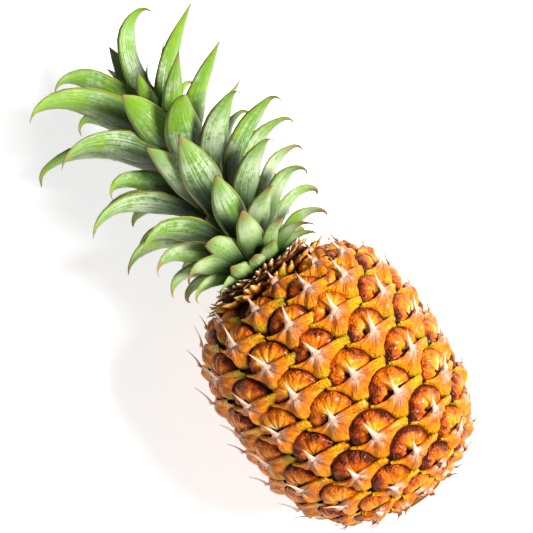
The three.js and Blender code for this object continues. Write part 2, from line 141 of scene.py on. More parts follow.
# The leaves underneath follow a spiral, each row running from the lowest leaf to the heart
SPIRAL_LEAVES = 70
CHORD_LENGTHS = [24, 31, 40, 50, 54, 50]
CHORD_DEGREES = [74, 66, 56, 46, 33, 15]
START_DEGREES = [58, 48, 38, 28, 18, 8]
END_DEGREES = [145, 140, 128, 112, 92, 40]
HALF_WIDTHS = [6, 7.5, 8.5, 9, 8.5, 7]
CROWN_PHASE = math.radians(-26.4)
UNDERSIDE = -0.35
MOST_DOWN = 55.0
CROWN_BASE = 71.0
CROWN_STEM_LENGTH = 82.0
CROWN_CROWDING = 1.55
LEAF_SUNK = 5.0
LEAF_ROLL = math.radians(34)
RIB_HANDLE = 0.42
HEART_RADIUS = 16.5
HEART_TAPER = 0.7
LEAF_FULLNESS = 1.14
NECK_BRACTS = 84
SHOULDER_BRACTS = 60

# The picture, in pixels, metres and radians; the body's middle shows at BODY_SHOWS_AT
PICTURE_WIDTH = 533
PIXEL = 0.52 * MM
BODY_SHOWS_AT = (340, 385)
CAMERA_DISTANCE = 0.837
CAMERA_LEAN = math.radians(8)
CROWN_TURN = (0.822, 0.569)
SENSOR_WIDTH = 36

# The studio. Each light: name, place in metres, power in watts, side in metres
LIGHTS = (
    ("key", (-0.35, -0.85, 1.1), 40.0, 0.45),
    ("fill", (-0.5, 0.6, 0.45), 3.0, 0.5),
)
LIGHTS_AIM = (-0.05, 0, 0.05)
EVEN_LIGHT = 0.13
FLOOR_HALF_SIDE = 3.0


def chance(i, c):
    """The fractional part of a large multiple of a sine: a repeatable number from 0 to 1."""
    v = np.sin(i * 12.9898 + c * 78.233) * 43758.5453
    return v - np.floor(v)


def phase(i, c):
    """A repeatable start for a wave, anywhere in a full turn."""
    return 6.28 * chance(i, c)


def full_turn(count):
    """Evenly spaced angles, the last one a step before a full turn."""
    return np.arange(count) / count * 2 * math.pi


def smooth(x):
    """Cubic step from 0 to 1."""
    t = np.clip(x, 0, 1)
    return t * t * (3 - 2 * t)


def fruit_outline(steps=2000):
    """Superellipse of half length 71 and radius 60, squarer at the crown end, by arc length."""
    a = (np.arange(steps + 1) / steps - 0.5) * math.pi
    power = 2 / np.where(a > 0, TOP_POWER, BASE_POWER)
    along = FRUIT_HALF_LENGTH * np.sign(a) * np.abs(np.sin(a)) ** power
    out = FRUIT_RADIUS * np.abs(np.cos(a)) ** power
    arc = np.concatenate([[0], np.cumsum(np.hypot(np.diff(along), np.diff(out)))])
    arc -= arc[steps // 2]
    run = np.hypot(np.gradient(along, arc), np.gradient(out, arc))
    return arc, along, out, -np.gradient(out, arc) / run, np.gradient(along, arc) / run


ARC, ALONG, OUT, NORMAL_ALONG, NORMAL_OUT = fruit_outline()


def outline_at(arc):
    """The outline at an arc length: how far along and out, and its normal along and out."""
    return [np.interp(arc, ARC, row) for row in (ALONG, OUT, NORMAL_ALONG, NORMAL_OUT)]


def arc_at_radius(out, crown_side):
    """The arc length on one side at which the outline's radius is nearest to the one asked for."""
    rows = np.where((ARC > 0) == crown_side)[0]
    return ARC[rows[np.argmin(np.abs(OUT[rows] - out))]]


TOP_ARC = arc_at_radius(TOP_DISC_RADIUS, True)
BASE_ARC = arc_at_radius(STEM_DISH_RADIUS, False)
NECK_ALONG = float(outline_at(TOP_ARC)[0])
DISH_ALONG = float(outline_at(BASE_ARC)[0]) + STEM_DISH_DEPTH

# The axis of the plant in the frame, from the box of the stem stub
stub_low, stub_high = (np.array(corner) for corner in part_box("cut_stem"))
AXIS = np.array(
    [
        stub_high[0] / MM - (DISH_ALONG - GAP),
        (stub_low[1] + stub_high[1]) / 2 / MM,
        (stub_low[2] + stub_high[2]) / 2 / MM,
    ]
)


def plant_vector(along, out, turn):
    """A direction given along the axis and out from it, turned from straight up towards -Y."""
    along, out, turn = np.broadcast_arrays(along, out, turn)
    return np.stack([along, -out * np.sin(turn), out * np.cos(turn)], axis=-1)


def plant_point(along, out, turn):
    """A point along the axis, out from it and turned likewise, in metres; none goes below the floor."""
    point = plant_vector(along, out, turn) + AXIS
    point[..., 2] = np.maximum(point[..., 2], FLOOR_CLEARANCE)
    return point * MM


def on_fruit(turn, arc, height):
    """The outline at an arc length, pushed out along its normal by a height."""
    along, out, normal_along, normal_out = outline_at(arc)
    return plant_point(along + normal_along * height, out + normal_out * height, turn)


def place_eyes():
    """Golden-angle spiral in even steps of arc, smaller where the fruit is thinner, with one slip."""
    rows = []
    for way in (1, -1):
        arc = EYE_START
        least = EYES_END_AT_NECK if way > 0 else EYES_END_AT_STEM
        index = 0
        while outline_at(arc)[1] > least:
            size = float(outline_at(arc)[1] / FRUIT_RADIUS) ** EYE_SHRINK
            turn = EYE_PHASE + GOLDEN_ANGLE * index
            side = math.atan2(math.sin(turn), math.cos(turn))
            past = (arc - SLIP_START - SLIP_SLOPE * side) / SLIP_LENGTH + 0.5
            turn += SLIP_ANGLE * math.cos(side / 2) ** 2 * float(smooth(past))
            if way > 0 or index < 0:
                rows.append((index, arc, size, turn))
            arc += way * EYE_RISE * size
            index += way
    return np.array(rows).T


EYE_INDEX, EYE_ARC, EYE_SIZE, EYE_TURN = place_eyes()
EYES = len(EYE_INDEX)


def at_eyes(x, y, height):
    """Places x across and y up from every eye's root, height over the crease; one row per eye."""
    size = EYE_SIZE[:, None, None]
    turn = EYE_TURN[:, None, None] + x / FRUIT_RADIUS
    arc = np.clip(EYE_ARC[:, None, None] + y * size, BASE_ARC + 0.5, TOP_ARC - 0.5)
    return on_fruit(turn, arc, height * size - RIM_HEIGHT)


def make_mesh(name, points, faces, attributes=None):
    """A smooth mesh object from points and quads, with one number per point for each attribute."""
    mesh = bpy.data.meshes.new(name)
    points = np.asarray(points, dtype=np.float32).reshape(-1, 3)
    faces = np.asarray(faces, dtype=np.int32)
    mesh.vertices.add(len(points))
    mesh.vertices.foreach_set("co", points.ravel())
    mesh.loops.add(faces.size)
    mesh.loops.foreach_set("vertex_index", faces.ravel())
    mesh.polygons.add(len(faces))
    mesh.polygons.foreach_set("loop_start", np.arange(0, faces.size, faces.shape[1], dtype=np.int32))
    mesh.update(calc_edges=True)
    mesh.validate()
    for key, values in (attributes or {}).items():
        layer = mesh.attributes.new(key, "FLOAT", "POINT")
        layer.data.foreach_set("value", np.asarray(values, dtype=np.float32).ravel())
    shape = bmesh.new()
    shape.from_mesh(mesh)
    bmesh.ops.remove_doubles(shape, verts=shape.verts, dist=MERGE_DISTANCE)
    shape.to_mesh(mesh)
    shape.free()
    mesh.polygons.foreach_set("use_smooth", np.ones(len(mesh.polygons), dtype=bool))
    piece = bpy.data.objects.new(name, mesh)
    bpy.context.scene.collection.objects.link(piece)
    return piece


def grid_faces(copies, rows, columns, round_columns=False, flip=False):
    """Quads of many copies of a grid of points; a round one joins its last column to its first."""
    r = np.arange(rows - 1)[:, None]
    c = np.arange(columns if round_columns else columns - 1)[None, :]
    right = (c + 1) % columns
    quads = np.stack(
        [r * columns + c, r * columns + right, (r + 1) * columns + right, (r + 1) * columns + c],
        axis=-1,
    ).reshape(-1, 4)
    if flip:
        quads = quads[:, ::-1]
    return (quads[None] + (np.arange(copies) * rows * columns)[:, None, None]).reshape(-1, 4)


# Materials


def hex_colour(code):
    """An sRGB hex colour as the linear RGBA the shader wants."""
    parts = [int(code[i : i + 2], 16) / 255 for i in (1, 3, 5)]
    return tuple(p / 12.92 if p <= 0.04045 else ((p + 0.055) / 1.055) ** 2.4 for p in parts) + (1.0,)


def add_node(tree, kind, inputs=None, **settings):
    """Adds one node, sets its properties, and gives each input a value or a link."""
    node = tree.nodes.new(kind)
    for key, value in settings.items():
        setattr(node, key, value)
    for key, value in (inputs or {}).items():
        socket = node.inputs[key]
        if isinstance(value, bpy.types.NodeSocket):
            tree.links.new(value, socket)
        else:
            socket.default_value = value
    return node


def new_material(name, roughness, **sockets):
    """A material with one principled shader; sockets sets its constant values."""
    material = bpy.data.materials.new(name)
    material.use_nodes = True
    tree = material.node_tree
    shader = tree.nodes["Principled BSDF"]
    shader.inputs["Roughness"].default_value = roughness
    for key, value in sockets.items():
        shader.inputs[key.replace("_", " ")].default_value = value
    return material, tree, shader


def attribute(tree, name):
    """The number that a mesh carries on its points under a name."""
    return add_node(tree, "ShaderNodeAttribute", attribute_name=name).outputs["Fac"]


def maths(tree, operation, a, b=0.0):
    """One operation on two values or links."""
    return add_node(tree, "ShaderNodeMath", {0: a, 1: b}, operation=operation).outputs[0]


def ramp(tree, value, stops):
    """A colour ramp from (place, hex) stops."""
    node = add_node(tree, "ShaderNodeValToRGB", {"Fac": value})
    elements = node.color_ramp.elements
    while len(elements) < len(stops):
        elements.new(0.5)
    for element, (place, code) in zip(elements, stops):
        element.position = place
        element.color = hex_colour(code)
    return node.outputs["Color"]


def spread(tree, value, low, high, to_low=0.0, to_high=1.0):
    """Maps the stretch from low to high onto another, held at its ends."""
    return add_node(
        tree,
        "ShaderNodeMapRange",
        {"Value": value, "From Min": low, "From Max": high, "To Min": to_low, "To Max": to_high},
        interpolation_type="SMOOTHSTEP",
    ).outputs["Result"]


def blend_colour(tree, share, a, b):
    """Mixes colour b into colour a by a share."""
    node = add_node(tree, "ShaderNodeMix", data_type="RGBA")
    for socket, value in ((node.inputs[0], share), (node.inputs[6], a), (node.inputs[7], b)):
        if isinstance(value, bpy.types.NodeSocket):
            tree.links.new(value, socket)
        else:
            socket.default_value = hex_colour(value) if isinstance(value, str) else value
    return node.outputs[2]


def noise(tree, vector, scale, detail=3.0, roughness=0.55):
    """Cloudy noise from 0 to 1 with scale patches to the metre."""
    inputs = {"Vector": vector, "Scale": scale, "Detail": detail, "Roughness": roughness}
    return add_node(tree, "ShaderNodeTexNoise", inputs).outputs["Fac"]


def cells(tree, vector, scale):
    """How far the nearest of the scattered points is, with scale of them to the metre."""
    return add_node(tree, "ShaderNodeTexVoronoi", {"Vector": vector, "Scale": scale}).outputs["Distance"]


def object_place(tree):
    """The place in the object's own coordinates, in metres."""
    return add_node(tree, "ShaderNodeTexCoord").outputs["Object"]


def bump(tree, shader, height, distance_mm):
    """Tilts the shading as if the surface rose by the height times a distance."""
    inputs = {"Height": height, "Distance": distance_mm * MM, "Strength": 1.0}
    node = add_node(tree, "ShaderNodeBump", inputs)
    tree.links.new(node.outputs["Normal"], shader.inputs["Normal"])


def streaks(tree, turn, far, own, turns, lengths):
    """Noise drawn out from the root: it varies turns times round, lengths times outwards and with own."""
    inputs = {
        "X": maths(tree, "MULTIPLY", turn, turns),
        "Y": maths(tree, "MULTIPLY", far, lengths),
        "Z": maths(tree, "MULTIPLY", own, 31.0),
    }
    return noise(tree, add_node(tree, "ShaderNodeCombineXYZ", inputs).outputs[0], 1.0)


def bead_height(tree, place, strength):
    """Beads about 1.2 mm across: 1 less the distance to the nearest bead's middle, times a strength."""
    return maths(tree, "MULTIPLY", maths(tree, "SUBTRACT", 1.0, cells(tree, place, 800.0)), strength)


def off_centre(tree, value, share):
    """A noise of 0 to 1 as a push of up to half the share either way."""
    return maths(tree, "MULTIPLY", maths(tree, "SUBTRACT", value, 0.5), share)


def eye_dome_rind():
    """The waxy face of an eye: pale at the root, orange, then weathered brown at its edge, with painted
    shade in the crease and on the side away from the light.
    """
    material, tree, shader = new_material(
        "eye_dome_rind", 0.42, Specular_IOR_Level=0.16, Coat_Weight=0.18, Coat_Roughness=0.12
    )
    place = object_place(tree)
    root = attribute(tree, "from_root")
    own = attribute(tree, "own")
    turn = attribute(tree, "root_turn")
    streak = streaks(tree, turn, root, own, 26.0, 1.8)
    # weathered patches some 5 mm across
    patch = noise(tree, place, 200.0, 3.0)
    wear_and_shade = maths(tree, "ADD", root, off_centre(tree, patch, 1.3))
    wear_and_shade = maths(tree, "ADD", wear_and_shade, off_centre(tree, streak, 0.4))
    wear_and_shade = maths(tree, "ADD", wear_and_shade, off_centre(tree, own, 0.35))
    # painted shade: the dome's side turned from the light is made browner
    wear_and_shade = maths(tree, "ADD", wear_and_shade, spread(tree, turn, 0.28, 0.5, 0.0, 0.22))
    orange = [(0.0, "#F6CE90"), (0.14, "#F3A81A"), (0.4, "#E98604")]
    brown = [(0.64, "#CC6002"), (0.86, "#923802"), (1.0, "#521A04")]
    colour = ramp(tree, wear_and_shade, orange + brown)
    # painted shade: dark in the slit beside the spine's root
    dark = spread(tree, attribute(tree, "slit"), 0.15, 0.7)
    colour = blend_colour(tree, dark, colour, "#2A0D06")
    # painted shade: near black where the dome dips into the crease at its rim
    colour = blend_colour(tree, spread(tree, root, 0.93, 0.99), colour, "#1E0903")
    tree.links.new(colour, shader.inputs["Base Color"])
    # the beads are strongest towards the edge
    beads = bead_height(tree, place, spread(tree, root, 0.45, 0.85, 0.25, 1.0))
    height = maths(tree, "ADD", beads, maths(tree, "MULTIPLY", streak, 1.5))
    bump(tree, shader, height, 0.9)
    return material


def eye_bract_rind():
    """The bract under an eye: papery at the root, orange and yellow below, green at its corners."""
    material, tree, shader = new_material(
        "eye_bract_rind", 0.45, Specular_IOR_Level=0.16, Coat_Weight=0.14, Coat_Roughness=0.14
    )
    place = object_place(tree)
    root = attribute(tree, "from_root")
    own = attribute(tree, "own")
    fibre = streaks(tree, attribute(tree, "root_turn"), root, own, 80.0, 2.5)
    patch = noise(tree, place, 170.0, 3.0)
    stain = noise(tree, place, 330.0, 2.0)
    far = maths(tree, "ADD", root, off_centre(tree, fibre, 0.8))
    far = maths(tree, "ADD", far, off_centre(tree, patch, 0.35))
    papery = [(0.1, "#EDC4A6"), (0.27, "#D6905E"), (0.37, "#DC7C10")]
    waxy = [(0.52, "#E68002"), (0.76, "#F0A002"), (0.95, "#E09C02")]
    colour = ramp(tree, far, papery + waxy)
    brown = maths(tree, "MULTIPLY", spread(tree, patch, 0.5, 0.66), spread(tree, root, 0.15, 0.4))
    colour = blend_colour(tree, maths(tree, "MULTIPLY", brown, 0.7), colour, "#B84A04")
    colour = blend_colour(tree, spread(tree, fibre, 0.56, 0.7, 0.0, 0.6), colour, "#98400E")
    # mauve-brown stains on the papery patch
    stain = maths(tree, "MULTIPLY", spread(tree, stain, 0.52, 0.62), spread(tree, root, 0.2, 0.6, 0.4, 0.1))
    colour = blend_colour(tree, stain, colour, "#9C5A44")
    ripe = spread(tree, maths(tree, "ADD", own, off_centre(tree, patch, 0.8)), 0.35, 0.85, 0.05, 0.85)
    green = maths(tree, "MULTIPLY", attribute(tree, "corner"), ripe)
    colour = blend_colour(tree, green, colour, "#8A9208")
    # painted shade: dark where the bract's lower edge goes down into the crease
    edge = spread(tree, attribute(tree, "to_edge"), 0.86, 1.0, 0.0, 0.85)
    colour = blend_colour(tree, edge, colour, "#451604")
    tree.links.new(colour, shader.inputs["Base Color"])
    beads = bead_height(tree, place, spread(tree, root, 0.4, 0.8))
    height = maths(tree, "ADD", maths(tree, "MULTIPLY", fibre, 1.8), beads)
    bump(tree, shader, height, 0.8)
    return material


def eye_crease_rind():
    """The rind in the creases between eyes: dull, dark orange-brown deepened to near black as painted shade,
    drier and paler round the stem.
    """
    material, tree, shader = new_material("eye_crease_rind", 0.9, Specular_IOR_Level=0.05)
    place = object_place(tree)
    patch = noise(tree, place, 260.0, 3.0)
    # painted shade: near black and dark brown for the shade deep in the creases
    colour = ramp(tree, patch, [(0.3, "#1C0903"), (0.5, "#3A1706"), (0.7, "#63300C")])
    along = add_node(tree, "ShaderNodeSeparateXYZ", {"Vector": place}).outputs["X"]
    by_stem = spread(tree, along, STEM_RIND_FULL, STEM_RIND_GONE, 0.7, 0.0)
    colour = blend_colour(tree, by_stem, colour, "#A4682C")
    tree.links.new(colour, shader.inputs["Base Color"])
    bump(tree, shader, patch, 0.4)
    return material


def papery_spine():
    """The dry spine of a bract: pinkish cream with brown fibres, browner towards its tip."""
    material, tree, shader = new_material("papery_spine", 0.75, Specular_IOR_Level=0.25)
    up = attribute(tree, "from_root")
    fibre = streaks(tree, attribute(tree, "across"), up, attribute(tree, "own"), 3.5, 1.5)
    far = maths(tree, "ADD", up, off_centre(tree, fibre, 0.7))
    colour = ramp(tree, far, [(0.0, "#D6A48C"), (0.3, "#EBCDB9"), (0.7, "#E0B898"), (1.0, "#8A5436")])
    colour = blend_colour(tree, spread(tree, fibre, 0.54, 0.68, 0.0, 0.65), colour, "#9C6A54")
    tree.links.new(colour, shader.inputs["Base Color"])
    bump(tree, shader, fibre, 0.4)
    return material


def leaf_green(tree, young, patch, vein, up):
    """The green of a leaf, yellower when young, in patches darker or paler, brighter at tip and veins."""
    green = ramp(tree, young, [(0.0, "#356F0C"), (0.4, "#417F0A"), (0.7, "#568E08"), (1.0, "#6F9E08")])
    green = blend_colour(tree, spread(tree, patch, 0.52, 0.68, 0.0, 0.6), green, "#2B5E06")
    green = blend_colour(tree, spread(tree, patch, 0.3, 0.46, 0.55, 0.0), green, "#A6B428")
    green = blend_colour(tree, spread(tree, up, 0.45, 0.9, 0.0, 0.5), green, "#86AE14")
    return blend_colour(tree, spread(tree, vein, 0.45, 0.75, 0.0, 0.4), green, "#8BB82C")


def leaf_bloom(tree, young, patch, vein, fleck, up):
    """How much pale wax covers a leaf's back: streaked and patchy, less on young leaves and at the tip."""
    bloom = maths(tree, "ADD", maths(tree, "MULTIPLY", patch, 1.3), off_centre(tree, vein, 1.0))
    bloom = maths(tree, "ADD", bloom, off_centre(tree, fleck, 0.5))
    bloom = maths(tree, "SUBTRACT", bloom, maths(tree, "MULTIPLY", young, 0.36))
    bloom = spread(tree, bloom, 0.3, 0.68, 0.04, 0.85)
    return maths(tree, "MULTIPLY", bloom, spread(tree, up, 0.5, 0.9, 1.0, 0.2))


def pineapple_leaf():
    """A crown leaf: satin green, pale bloom along its back, yellow-olive margins, dry brown at the tip."""
    material, tree, shader = new_material("pineapple_leaf", 0.38)
    place = object_place(tree)
    up = attribute(tree, "from_root")
    across = attribute(tree, "across")
    own = attribute(tree, "own")
    age = attribute(tree, "age")
    # veins about 0.6 mm apart, bloom in patches some 13 mm long with flecks of 2 mm
    vein = streaks(tree, across, up, own, 13.0, 1.6)
    patch = noise(tree, place, 75.0, 4.0, 0.65)
    fleck = noise(tree, place, 520.0, 2.0)
    young = maths(tree, "ADD", age, off_centre(tree, own, 0.45))
    green = leaf_green(tree, young, patch, vein, up)
    # the upper faces: a darker green than the waxed backs, deepened further as painted shade
    upper = blend_colour(tree, 0.6, green, "#12340A")
    lower = blend_colour(tree, leaf_bloom(tree, young, patch, vein, fleck, up), green, "#CCD7B0")
    # the oldest leaves are yellow-green towards the fruit, and all are painted dark towards the root as
    # shade in the crown's depth
    old = spread(tree, age, 0.05, 0.4, 0.6, 0.0)
    low_down = spread(tree, maths(tree, "ADD", up, off_centre(tree, patch, 0.9)), 0.4, 0.75, 1.0, 0.0)
    lower = blend_colour(tree, maths(tree, "MULTIPLY", old, low_down), lower, "#83B21A")
    lower = blend_colour(tree, spread(tree, up, 0.2, 0.64, 0.95, 0.0), lower, "#12330E")
    colour = blend_colour(tree, attribute(tree, "underside"), upper, lower)
    margin = spread(tree, maths(tree, "ABSOLUTE", across), 0.84, 0.96, 0.0, 0.85)
    colour = blend_colour(tree, margin, colour, "#BABA30")
    # the oldest leaves are dry furthest down
    dry = maths(tree, "ADD", up, off_centre(tree, patch, 0.3))
    dry = maths(tree, "ADD", dry, spread(tree, age, 0.0, 0.25, 0.1, 0.0))
    colour = blend_colour(tree, spread(tree, dry, 0.86, 1.0, 0.0, 0.85), colour, "#A07A3C")
    colour = blend_colour(tree, spread(tree, up, 0.965, 0.995), colour, "#4A2412")
    tree.links.new(colour, shader.inputs["Base Color"])
    bump(tree, shader, maths(tree, "ADD", vein, maths(tree, "MULTIPLY", fleck, 0.3)), 0.6)
    return material


def dry_bract():
    """The dry bracts at the neck: red-brown, papery, bleached at their tips."""
    material, tree, shader = new_material("dry_bract", 0.85, Specular_IOR_Level=0.2)
    fibre = noise(tree, object_place(tree), 420.0, 4.0)
    far = maths(tree, "ADD", attribute(tree, "from_root"), off_centre(tree, fibre, 1.1))
    colour = ramp(tree, far, [(0.0, "#52290F"), (0.3, "#8E5224"), (0.6, "#C48A4E"), (0.9, "#EFD6B4")])
    tree.links.new(colour, shader.inputs["Base Color"])
    bump(tree, shader, fibre, 0.5)
    return material


def shoulder_bract_rind():
    """A half-dried bract of the shoulder: orange below, cream above, brown at its tip, green in patches."""
    material, tree, shader = new_material("shoulder_bract_rind", 0.8, Specular_IOR_Level=0.15)
    place = object_place(tree)
    fibre = noise(tree, place, 420.0, 4.0)
    far = maths(tree, "ADD", attribute(tree, "from_root"), off_centre(tree, fibre, 0.8))
    green = noise(tree, place, 110.0, 2.0)
    orange = [(0.0, "#7A3406"), (0.25, "#D87A06"), (0.5, "#E6960A")]
    colour = ramp(tree, far, orange + [(0.75, "#E6B478"), (1.0, "#B0703A")])
    colour = blend_colour(tree, spread(tree, green, 0.5, 0.64, 0.0, 0.7), colour, "#8E8E10")
    tree.links.new(colour, shader.inputs["Base Color"])
    bump(tree, shader, fibre, 0.5)
    return material


def cut_stem_fibre():
    """The cut end of the stem: dry tan fibres seen end on, about 1 mm across, with browner patches."""
    material, tree, shader = new_material("cut_stem_fibre", 0.85)
    place = object_place(tree)
    fibre = cells(tree, place, 900.0)
    patch = noise(tree, place, 120.0, 3.0)
    colour = ramp(tree, fibre, [(0.0, "#7A5226"), (0.3, "#C8A467"), (0.7, "#E5CD98")])
    colour = blend_colour(tree, spread(tree, patch, 0.5, 0.7, 0.0, 0.5), colour, "#8A6236")
    tree.links.new(colour, shader.inputs["Base Color"])
    bump(tree, shader, fibre, 0.4)
    return material


def opal_table():
    """A matt opal table lit faintly from below: it keeps the pale ground even round the fruit."""
    return new_material(
        "opal_table",
        0.9,
        Base_Color=hex_colour("#F4F4F3"),
        Emission_Color=hex_colour("#FFFFFF"),
        Emission_Strength=0.58,
    )[0]


# The fruit

# The creases of a dome and the folds of a bract. Each row: random seed, degrees, height, width in degrees
DOME_CREASES = ((22, 48, 0.5, 5), (23, 86, 0.55, 5), (24, 128, 0.8, 5), (26, 156, 0.5, 5), (27, 20, 0.4, 5))
BRACT_FOLDS = (
    (30, -104, 1.5, 9),
    (31, -70, -1.3, 10),
    (32, -138, -1.2, 11),
    (33, -36, 1.1, 7),
    (34, -20, -0.9, 5),
    (37, -160, 0.8, 6),
    (38, -88, -1.0, 5),
    (39, -54, 1.0, 6),
    (41, -120, 1.0, 6),
    (42, -8, 0.4, 3),
)


def folds_at(angle, index, rows, wander):
    """A sum of bell curves over the angle in degrees, each one's middle moved by up to half the wander."""
    height = 0.0
    for seed, middle, tall, wide in rows:
        away = angle - middle - wander * (chance(index, seed) - 0.5)
        height = height + tall * np.exp(-((away / wide) ** 2))
    return height


def eye_domes():
    """A half disc over each rim, polar about the root: height 1 - r^5, with a trough, creases and lumps."""
    degrees = np.linspace(-14, 192, 42)[None, :, None]
    share = np.concatenate([np.linspace(0, 0.8, 10), [0.87, 0.93, 0.97, 1.0]])[None, None, :]
    index = EYE_INDEX[:, None, None]
    phi = np.radians(degrees)
    r = share * (DOME_RADIUS * (1.06 + 0.02 * np.cos(3 * phi + phase(index, 20))))
    x = r * np.cos(phi)
    y = r * np.sin(phi)
    trough = 0.45 + 0.55 * smooth((y - 0.3) / 5)
    height = DOME_HEIGHT * (1 - share**5) * trough * (0.92 + 0.16 * chance(index, 21)) - 2.0 * share**16
    creases = folds_at(degrees, index, DOME_CREASES, 18)
    height = height - 1.3 * creases * smooth(share / 0.15) * (1 - smooth((share - 0.65) / 0.3))
    lumps = 0.3 * np.sin(13 * phi + phase(index, 28)) + 0.2 * np.sin(7 * phi + phase(index, 29))
    height = height + lumps * smooth((share - 0.45) / 0.3) * (1 - smooth((share - 0.9) / 0.1))
    slit = np.exp(-(((x + 2.6) / 1.0) ** 2) - (((y - 1.6) / 2.0) ** 2))
    height = height - 1.4 * slit
    ones = np.ones_like(height)
    points = at_eyes(x * ones, y * ones, height)
    attributes = {
        "from_root": share * ones,
        "root_turn": (phi / (2 * math.pi)) * ones,
        "own": chance(index, 25) * ones,
        "slit": slit * ones,
    }
    faces = grid_faces(EYES, degrees.size, share.size, flip=True)
    return make_mesh("eye_domes", points, faces, attributes)


def arc_points(x, y, radius, first, last, count):
    """Points on a circle about (x, y) from one angle in degrees to another."""
    turn = np.radians(np.linspace(first, last, count))
    return np.stack([x + radius * np.cos(turn), y + radius * np.sin(turn)], axis=-1)


# An eye's bract: along its rim from the left corner to the right one, and below, round the two domes there
BRACT_RIM = np.array(
    [[-14.8, 1.6], [-11, -0.1], [-6.3, -0.8], [0, 0], [4.5, 0.1], [10.7, -0.3], [18.6, -1.4]],
)
BRACT_EDGE = np.concatenate(
    [
        [[-15.6, 1.2]],
        arc_points(-21, -11.8, 13.3, 66, 4, 6),
        [[-4.2, -13.8]],
        arc_points(13, -19.2, 13.3, 160, 66, 7),
        [[19.4, -4.2]],
    ]
)


def between(places, rows, u):
    """Straight lines from point to point, read at the shares u."""
    return np.stack([np.interp(u, places, rows[:, k]) for k in (0, 1)], axis=-1)


def eye_bracts():
    """A cape from each rim down between the domes below: straight lines from rim to lower edge, pleated."""
    u = np.linspace(0, 1, 49)
    v = np.concatenate([[-2, -1], np.linspace(0, 1, 12)])
    rim = between([0, 0.14, 0.3, 0.47, 0.6, 0.76, 1], BRACT_RIM, u)
    low = between(np.linspace(0, 1, len(BRACT_EDGE)), BRACT_EDGE, u)
    share = np.clip(v, 0, 1)[None, :, None]
    place = rim[:, None] * (1 - share) + low[:, None] * share
    x = place[..., 0][None]
    y = place[..., 1][None]
    index = EYE_INDEX[:, None, None]
    from_middle = np.abs(rim[:, 0]) / 17
    rim_height = RIM_HEIGHT * (1 - 0.5 * from_middle**1.4)[None, :, None]
    down = np.clip(v, 0, 1)[None, None, :]
    height = rim_height * (1 - 0.9 * down**2.2) - 0.9 * down**10
    angle = np.degrees(np.arctan2(y, x))
    angle = np.where(angle > 60, angle - 360, angle)
    folds = folds_at(angle, index, BRACT_FOLDS, 12)
    height = height + folds * smooth((np.hypot(x, y) - 0.6) / 4) * (1 - 0.75 * smooth((down - 0.6) / 0.4))
    # the rim's free edge turns over and goes down behind itself
    lip = np.clip(-v, 0, 2)[None, None, :]
    y = y + np.where(lip == 1, 0.5, 0.0) + np.where(lip == 2, 0.2, 0.0)
    height = height - np.where(lip == 1, 0.45, 0.0) - np.where(lip == 2, 2.6, 0.0)
    x = x * np.ones_like(height)
    y = y * np.ones_like(height)
    points = at_eyes(x, y, height)
    corner = 0.0
    for cx, cy, wide in ((-15, 1.5, 2.4), (18.6, -2.4, 4.4), (-4.2, -13.4, 4.6)):
        corner = np.maximum(corner, np.exp(-(((x - cx) ** 2 + (y - cy) ** 2) / wide**2)))
    attributes = {
        "from_root": np.hypot(x, y) / 16,
        "root_turn": (angle / 360) * np.ones_like(height),
        "own": chance(index, 36) * np.ones_like(height),
        "corner": corner,
        "to_edge": down * np.ones_like(height),
    }
    faces = grid_faces(EYES, u.size, v.size)
    return make_mesh("eye_bracts", points, faces, attributes)


def eye_spines():
    """A flat horn, flared at its base, from each rim's middle towards the crown, rising as length^1.5."""
    u = np.array([-0.12, 0.0, 0.08, 0.18, 0.32, 0.5, 0.7, 0.88, 1.0])[None, :, None]
    up = np.clip(u, 0, 1)
    around = full_turn(8)[None, None, :]
    index = EYE_INDEX[:, None, None]
    size = EYE_SIZE[:, None, None]
    out, normal_along, normal_out = (row[:, None, None] for row in outline_at(EYE_ARC)[1:])
    shoulder = np.where(EYE_ARC[:, None, None] > 0, 1 - smooth((out - 30) / 22), 0)
    lean = np.radians(18 + 14 * chance(index, 1) + 45 * shoulder)
    length = SPINE_LENGTH * (0.8 + 0.4 * chance(index, 2)) * (1 - 0.5 * shoulder) * size
    sway = (chance(index, 3) - 0.5) * 0.5
    half = 2.5 * (1 - up) * (0.55 + 0.45 * np.exp(-up * 5))
    half = np.where(u < 0, 3.0, half) * size + 0.04
    thick = 0.2 * half + 0.12
    forward = length * np.cos(lean) * u
    lift = length * np.sin(lean) * up**1.5 + 0.3 - 2.2 * np.clip(-u, 0, 1) / 0.12
    curl = 0.12 * (chance(index, 4) - 0.5) * length * up**2
    cross = half * np.cos(around) + sway * forward + curl
    height = lift + thick * np.sin(around) + 0.5 * (half - np.abs(half * np.cos(around)))
    normal = plant_vector(normal_along, normal_out, EYE_TURN[:, None, None])
    upward = plant_vector(normal_out, -normal_along, EYE_TURN[:, None, None])
    side = np.cross(upward, normal)
    root = on_fruit(EYE_TURN, EYE_ARC, 0.0)[:, None, None, :]
    offset = forward[..., None] * upward + height[..., None] * normal + cross[..., None] * side
    points = root + MM * offset
    points[..., 2] = np.maximum(points[..., 2], FLOOR_CLEARANCE * MM)
    ones = np.ones(points.shape[:3])
    attributes = {"from_root": up * ones, "across": np.cos(around) * ones, "own": chance(index, 40) * ones}
    faces = grid_faces(EYES, u.size, around.size, round_columns=True)
    return make_mesh("eye_spines", points, faces, attributes)


